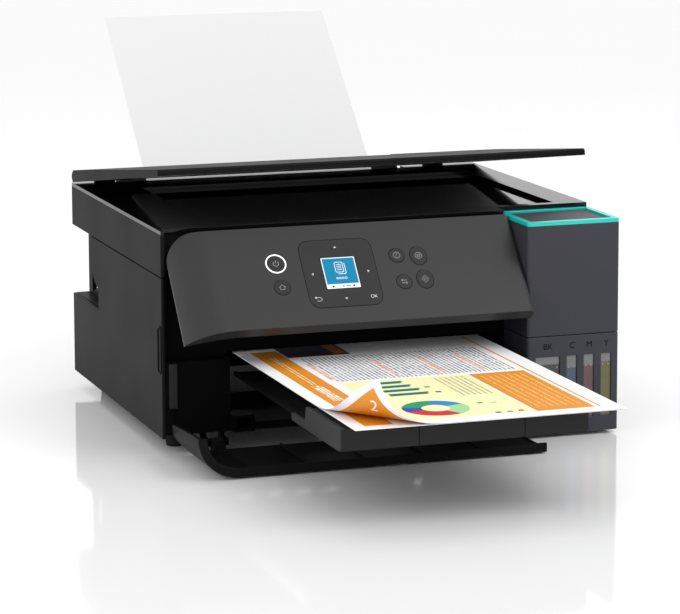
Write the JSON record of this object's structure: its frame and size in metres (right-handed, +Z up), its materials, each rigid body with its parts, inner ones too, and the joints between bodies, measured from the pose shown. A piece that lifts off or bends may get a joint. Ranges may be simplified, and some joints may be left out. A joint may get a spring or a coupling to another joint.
{
  "type": "inkjet printer",
  "caption": "Ink tank inkjet printer with a flat-bed scanner under a hinged lid, tilting control panel, rear sheet feeder and pull-out output tray.",
  "frame": {"origin": "on the table, under the middle of the closed footprint", "axes": "+X to the right seen from the front, +Y to the back, +Z up"},
  "size_m": [0.375, 0.7081, 0.3118],
  "materials": {
    "case_black": "fine textured satin black",
    "bezel_black": "glossy black",
    "panel_grey": "satin dark grey",
    "tank_grey": "satin blue-grey",
    "accent_teal": "bright turquoise",
    "smoke_window": "translucent smoke",
    "mechanism_grey": "moulded grey",
    "steel": "zinc plated",
    "motor_steel": "plated can",
    "rubber_black": "matt rubber",
    "belt_rubber": "toothed belt",
    "gear_white": "acetal",
    "board_green": "circuit board",
    "glass_dark": "polished",
    "mat_grey": "pressed felt-backed sheet",
    "display_blue": "lit display",
    "key_grey": "satin dark grey",
    "paper_white": "plain copy paper",
    "cap_white": "moulded",
    "tank_clear": "translucent"
  },
  "bodies": {
    "base": {"base_pan": "case_black", "left_side_casing": "case_black", "right_side_casing": "case_black", "rear_casing": "case_black", "front_frame": "case_black", "rubber_feet": "rubber_black", "casing_screws": "steel", "carriage_frame": "steel", "carriage_rail": "steel", "platen": "mechanism_grey", "carriage_motor": "motor_steel", "carriage_belt": "belt_rubber", "capping_station": "mechanism_grey", "gear_plate": "mechanism_grey", "feed_motor": "motor_steel", "main_board": "board_green", "power_supply": "mechanism_grey", "power_inlet": "case_black", "feeder_chute": "case_black", "ink_tank_case": "tank_grey", "ink_tanks": "tank_clear", "tank_caps": "cap_white"},
    "carriage": {"print_carriage": "mechanism_grey", "print_head": "steel"},
    "motor_pulley": {"motor_pulley": "gear_white"},
    "idler_pulley": {"idler_pulley": "gear_white"},
    "feed_roller": {"feed_roller": "rubber_black", "feed_gear": "gear_white"},
    "eject_roller": {"eject_roller": "rubber_black", "eject_gear": "gear_white"},
    "idler_gear": {"idler_gear": "gear_white"},
    "pickup_roller": {"pickup_roller": "rubber_black"},
    "scanner_unit": {"scanner_housing": "case_black", "scanner_bezel": "bezel_black", "platen_glass": "glass_dark", "scan_rail": "steel", "lid_hinges": "case_black"},
    "scan_bar": {"scan_bar": "mechanism_grey"},
    "lid": {"scanner_lid": "case_black", "document_mat": "mat_grey"},
    "panel": {"control_panel": "panel_grey", "panel_back_cover": "case_black", "display": "display_blue"},
    "direction_pad": {"direction_pad": "key_grey"},
    "power_button": {"power_button": "key_grey"},
    "home_button": {"home_button": "key_grey"},
    "help_button": {"help_button": "key_grey"},
    "stop_button": {"stop_button": "key_grey"},
    "mono_start_button": {"mono_start_button": "key_grey"},
    "colour_start_button": {"colour_start_button": "key_grey"},
    "tank_cover": {"ink_tank_cover": "tank_grey", "accent_ring": "accent_teal"},
    "output_tray": {"output_tray": "case_black"},
    "tray_extension": {"tray_extension": "case_black"},
    "front_cover": {"front_cover": "case_black"},
    "paper_support": {"paper_support": "case_black"},
    "left_guide": {"left_edge_guide": "case_black"},
    "right_guide": {"right_edge_guide": "case_black"},
    "rear_sheet": {"rear_sheet": "paper_white"},
    "printed_sheets": {"printed_sheets": "paper_white"}
  },
  "joints": [
    {"name": "carriage_slide", "type": "slide", "parent": "base", "child": "carriage", "axis": [1, 0, 0], "range_m": [-0.245, 0.004]},
    {"name": "motor_pulley_turn", "type": "hinge", "parent": "base", "child": "motor_pulley", "pos_m": [-0.167, -0.0135, 0.13], "axis": [0, 0, 1], "range_deg": [-2400, 2400]},
    {"name": "idler_pulley_turn", "type": "hinge", "parent": "base", "child": "idler_pulley", "pos_m": [0.172, -0.0135, 0.13], "axis": [0, 0, 1], "range_deg": [-2400, 2400]},
    {"name": "feed_roller_turn", "type": "hinge", "parent": "base", "child": "feed_roller", "pos_m": [0, 0.0125, 0.07], "axis": [1, 0, 0], "continuous": true},
    {"name": "idler_gear_turn", "type": "hinge", "parent": "base", "child": "idler_gear", "pos_m": [-0.15, -0.0425, 0.07], "axis": [1, 0, 0], "continuous": true},
    {"name": "eject_roller_turn", "type": "hinge", "parent": "base", "child": "eject_roller", "pos_m": [0, -0.0925, 0.07], "axis": [1, 0, 0], "continuous": true},
    {"name": "pickup_roller_turn", "type": "hinge", "parent": "base", "child": "pickup_roller", "pos_m": [0, 0.08188, 0.12634], "axis": [1, 0, 0], "continuous": true},
    {"name": "scanner_lift", "type": "hinge", "parent": "base", "child": "scanner_unit", "pos_m": [0, 0.1595, 0.17], "axis": [-1, 0, 0], "range_deg": [0, 25]},
    {"name": "scan_bar_slide", "type": "slide", "parent": "scanner_unit", "child": "scan_bar", "axis": [1, 0, 0], "range_m": [-0.044, 0.284]},
    {"name": "lid_hinge", "type": "hinge", "parent": "scanner_unit", "child": "lid", "pos_m": [0, 0.1475, 0.1844], "axis": [-1, 0, 0], "range_deg": [-8.6, 60]},
    {"name": "panel_tilt", "type": "hinge", "parent": "base", "child": "panel", "pos_m": [0, -0.1265, 0.172], "axis": [-1, 0, 0], "range_deg": [-39.4, 20]},
    {"name": "direction_pad_press", "type": "slide", "parent": "panel", "child": "direction_pad", "axis": [0, 0.7727, -0.6347], "range_m": [0, 0.001], "stiffness_N_per_m": 600},
    {"name": "power_button_press", "type": "slide", "parent": "panel", "child": "power_button", "axis": [0, 0.7727, -0.6347], "range_m": [0, 0.001], "stiffness_N_per_m": 600},
    {"name": "home_button_press", "type": "slide", "parent": "panel", "child": "home_button", "axis": [0, 0.7727, -0.6347], "range_m": [0, 0.001], "stiffness_N_per_m": 600},
    {"name": "help_button_press", "type": "slide", "parent": "panel", "child": "help_button", "axis": [0, 0.7727, -0.6347], "range_m": [0, 0.001], "stiffness_N_per_m": 600},
    {"name": "stop_button_press", "type": "slide", "parent": "panel", "child": "stop_button", "axis": [0, 0.7727, -0.6347], "range_m": [0, 0.001], "stiffness_N_per_m": 600},
    {"name": "mono_start_button_press", "type": "slide", "parent": "panel", "child": "mono_start_button", "axis": [0, 0.7727, -0.6347], "range_m": [0, 0.001], "stiffness_N_per_m": 600},
    {"name": "colour_start_button_press", "type": "slide", "parent": "panel", "child": "colour_start_button", "axis": [0, 0.7727, -0.6347], "range_m": [0, 0.001], "stiffness_N_per_m": 600},
    {"name": "tank_cover_hinge", "type": "hinge", "parent": "base", "child": "tank_cover", "pos_m": [0.147, -0.1105, 0.176], "axis": [-1, 0, 0], "range_deg": [0, 45]},
    {"name": "output_tray_slide", "type": "slide", "parent": "base", "child": "output_tray", "axis": [0, 1, 0], "range_m": [0, 0.15]},
    {"name": "tray_extension_slide", "type": "slide", "parent": "output_tray", "child": "tray_extension", "axis": [0, 1, 0], "range_m": [0, 0.06]},
    {"name": "front_cover_hinge", "type": "hinge", "parent": "base", "child": "front_cover", "pos_m": [-0.04, -0.1325, 0.009], "axis": [-1, 0, 0], "range_deg": [0, 30]},
    {"name": "paper_support_slide", "type": "slide", "parent": "base", "child": "paper_support", "axis": [0, 0.7193, 0.6947], "range_m": [-0.1, 0]},
    {"name": "left_guide_slide", "type": "slide", "parent": "base", "child": "left_guide", "axis": [-1, 0, 0], "range_m": [0, 0.003]},
    {"name": "right_guide_slide", "type": "slide", "parent": "base", "child": "right_guide", "axis": [1, 0, 0], "range_m": [0, 0.003]},
    {"name": "rear_sheet_lift", "type": "slide", "parent": "base", "child": "rear_sheet", "axis": [0, 0.7193, 0.6947], "range_m": [0, 0.05]},
    {"name": "printed_sheets_pull", "type": "slide", "parent": "base", "child": "printed_sheets", "axis": [0, -1, 0], "range_m": [0, 0.12]}
  ],
  "couplings": [
    {"joint": "motor_pulley_turn", "follows": "carriage_slide", "rad_per_m": -142.86},
    {"joint": "idler_pulley_turn", "follows": "carriage_slide", "rad_per_m": -142.86},
    {"joint": "idler_gear_turn", "follows": "feed_roller_turn", "ratio": -0.57143},
    {"joint": "eject_roller_turn", "follows": "feed_roller_turn", "ratio": 1.3333},
    {"joint": "right_guide_slide", "follows": "left_guide_slide", "ratio": 1}
  ]
}
